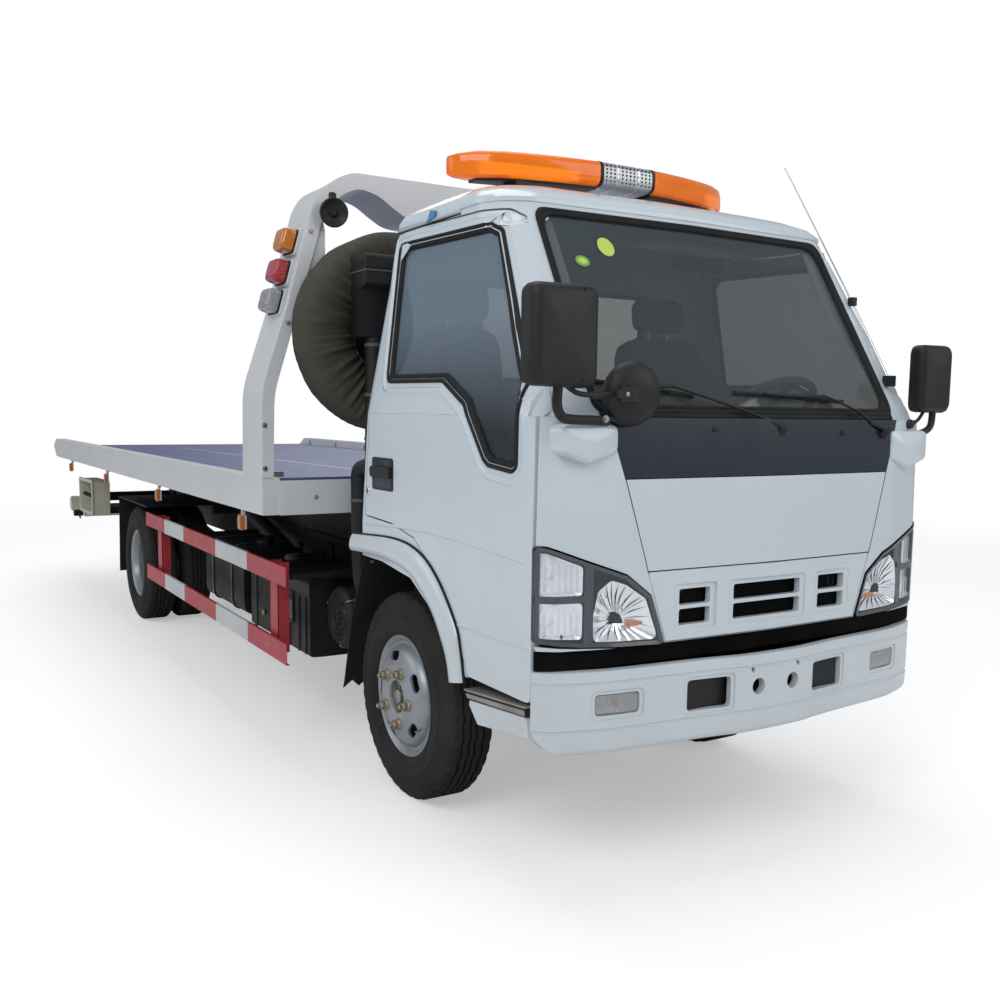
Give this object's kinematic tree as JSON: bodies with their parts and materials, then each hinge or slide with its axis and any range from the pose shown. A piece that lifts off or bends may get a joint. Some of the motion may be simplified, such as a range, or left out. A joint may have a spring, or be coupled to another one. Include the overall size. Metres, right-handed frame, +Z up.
{
  "type": "rollback tow truck",
  "caption": "Light flatbed recovery truck: forward-control cab, tilting and sliding load bed with headboard portal and winch, rear underlift, side guards.",
  "frame": {"origin": "Centre of the footprint on the ground under the bounding box.", "axes": "+X forward along the truck, +Y to its left, +Z up."},
  "size_m": [7.1, 2.24, 2.4092],
  "materials": {
    "cab_white": "white enamel, glossy, lightly dusted",
    "bed_blue": "blue enamel, semi-gloss",
    "bed_white": "white enamel on the bed rails and the portal, road-dusted",
    "chassis_black": "black chassis paint, satin and dusty",
    "cast_grey": "as cast, grey",
    "black_plastic": "moulded black plastic, fine grain",
    "rubber_black": "black sheet rubber, matt",
    "tank_metal": "plain steel sheet",
    "exhaust_metal": "heat-dulled steel",
    "lamp_red": "clear red lens",
    "lamp_amber": "clear amber lens",
    "lamp_clear": "clear lens over bright reflector",
    "cover_olive": "olive woven cover, gathered",
    "box_beige": "beige paint, worn",
    "guard_white": "white bars with red bands",
    "guard_red": "red bands and posts of the side guards",
    "floor_mat": "ribbed rubber mat",
    "seat_fabric": "dark grey woven cloth",
    "dash_plastic": "grained grey plastic",
    "glass": "clear, faint green tint",
    "chrome": "polished",
    "rim_silver": "silver wheel enamel",
    "tyre": "worn black rubber",
    "deck_steel": "chequered steel, blue, scuffed",
    "cable_steel": "wound steel rope"
  },
  "bodies": {
    "chassis": {"chassis_frame": "chassis_black", "springs": "chassis_black", "driveline": "chassis_black", "engine": "cast_grey", "battery_box": "black_plastic", "tool_box": "bed_blue", "fuel_tank": "tank_metal", "air_intake": "black_plastic", "mudguards": "rubber_black", "chassis_lamps": "lamp_red", "exhaust": "exhaust_metal", "front_axle": "chassis_black", "spare_wheel": "cover_olive", "control_box": "box_beige", "bumper": "cab_white", "cab_steps": "black_plastic", "side_guards": "guard_white"},
    "cab": {"cab_roof": "cab_white", "cab_back": "cab_white", "cab_front": "cab_white", "cowl_panel": "black_plastic", "grille": "cab_white", "headlamps": "lamp_clear", "cab_frame": "cab_white", "cab_glass": "glass", "cab_floor": "floor_mat", "seats": "seat_fabric", "dashboard": "dash_plastic", "steering_wheel": "dash_plastic", "light_bar": "lamp_amber", "mirrors": "black_plastic", "wipers": "black_plastic", "antenna": "chrome"},
    "door_left": {"door_left": "cab_white", "door_glass_left": "glass"},
    "door_right": {"door_right": "cab_white", "door_glass_right": "glass"},
    "knuckle_left": {"knuckle_left": "cast_grey"},
    "knuckle_right": {"knuckle_right": "cast_grey"},
    "wheel_front_left": {"wheel_front_left": "rim_silver", "tyre_front_left": "tyre"},
    "wheel_front_right": {"wheel_front_right": "rim_silver", "tyre_front_right": "tyre"},
    "wheels_rear_left": {"wheels_rear_left": "rim_silver", "tyres_rear_left": "tyre"},
    "wheels_rear_right": {"wheels_rear_right": "rim_silver", "tyres_rear_right": "tyre"},
    "tilt_frame": {"tilt_frame": "chassis_black"},
    "tilt_barrels": {"tilt_barrels": "chassis_black"},
    "tilt_rams": {"tilt_rams": "chrome"},
    "bed": {"bed_frame": "chassis_black", "bed_deck": "deck_steel", "bed_rails": "bed_white", "bed_lamps": "lamp_amber", "portal": "bed_white", "winch_frame": "chassis_black"},
    "winch_drum": {"winch_drum": "cable_steel"},
    "lift_boom": {"lift_boom": "bed_blue"},
    "lift_crossbar": {"lift_crossbar": "box_beige"}
  },
  "joints": [
    {"name": "steer_left", "type": "hinge", "parent": "chassis", "child": "knuckle_left", "pos_m": [2.44, 0.56, 0.385], "axis": [0, 0, 1], "range_deg": [-35, 35]},
    {"name": "steer_right", "type": "hinge", "parent": "chassis", "child": "knuckle_right", "pos_m": [2.44, -0.56, 0.385], "axis": [0, 0, 1], "range_deg": [-35, 35]},
    {"name": "spin_front_left", "type": "hinge", "parent": "knuckle_left", "child": "wheel_front_left", "pos_m": [2.44, 0.683, 0.385], "axis": [0, 1, 0], "continuous": true},
    {"name": "spin_front_right", "type": "hinge", "parent": "knuckle_right", "child": "wheel_front_right", "pos_m": [2.44, -0.683, 0.385], "axis": [0, 1, 0], "continuous": true},
    {"name": "spin_rear_left", "type": "hinge", "parent": "chassis", "child": "wheels_rear_left", "pos_m": [-1.375, 0.713, 0.385], "axis": [0, 1, 0], "continuous": true},
    {"name": "spin_rear_right", "type": "hinge", "parent": "chassis", "child": "wheels_rear_right", "pos_m": [-1.375, -0.713, 0.385], "axis": [0, 1, 0], "continuous": true},
    {"name": "cab_tilt", "type": "hinge", "parent": "chassis", "child": "cab", "pos_m": [3.444, 0, 0.738], "axis": [0, 1, 0], "range_deg": [0, 45]},
    {"name": "door_left_hinge", "type": "hinge", "parent": "cab", "child": "door_left", "pos_m": [3.396, 0.826, 1.25], "axis": [0, 0, -1], "range_deg": [0, 65]},
    {"name": "door_right_hinge", "type": "hinge", "parent": "cab", "child": "door_right", "pos_m": [3.396, -0.826, 1.25], "axis": [0, 0, 1], "range_deg": [0, 65]},
    {"name": "bed_tilt", "type": "hinge", "parent": "chassis", "child": "tilt_frame", "pos_m": [-2.7, 0, 0.845], "axis": [0, -1, 0], "range_deg": [0, 15.6]},
    {"name": "bed_slide", "type": "slide", "parent": "tilt_frame", "child": "bed", "axis": [-1, 0, 0], "range_m": [0, 2.9]},
    {"name": "barrel_pivot", "type": "hinge", "parent": "chassis", "child": "tilt_barrels", "pos_m": [0.69, 0, 0.56], "axis": [0, 1, 0], "range_deg": [0, 19.22]},
    {"name": "ram_slide", "type": "slide", "parent": "tilt_barrels", "child": "tilt_rams", "axis": [-0.9731, 0, 0.2305], "range_m": [0, 0.3006]},
    {"name": "winch_spin", "type": "hinge", "parent": "bed", "child": "winch_drum", "pos_m": [1.746, 0, 1.226], "axis": [0, 1, 0], "continuous": true},
    {"name": "lift_tilt", "type": "hinge", "parent": "chassis", "child": "lift_boom", "pos_m": [-2.82, 0, 0.56], "axis": [0, -1, 0], "range_deg": [0, 30]},
    {"name": "lift_extend", "type": "slide", "parent": "lift_boom", "child": "lift_crossbar", "axis": [-1, 0, 0], "range_m": [0, 0.25]}
  ],
  "couplings": [
    {"joint": "steer_right", "follows": "steer_left", "ratio": 1},
    {"joint": "barrel_pivot", "follows": "bed_tilt", "ratio": 1.2062},
    {"joint": "ram_slide", "follows": "bed_tilt", "m_per_rad": 1.0931}
  ]
}
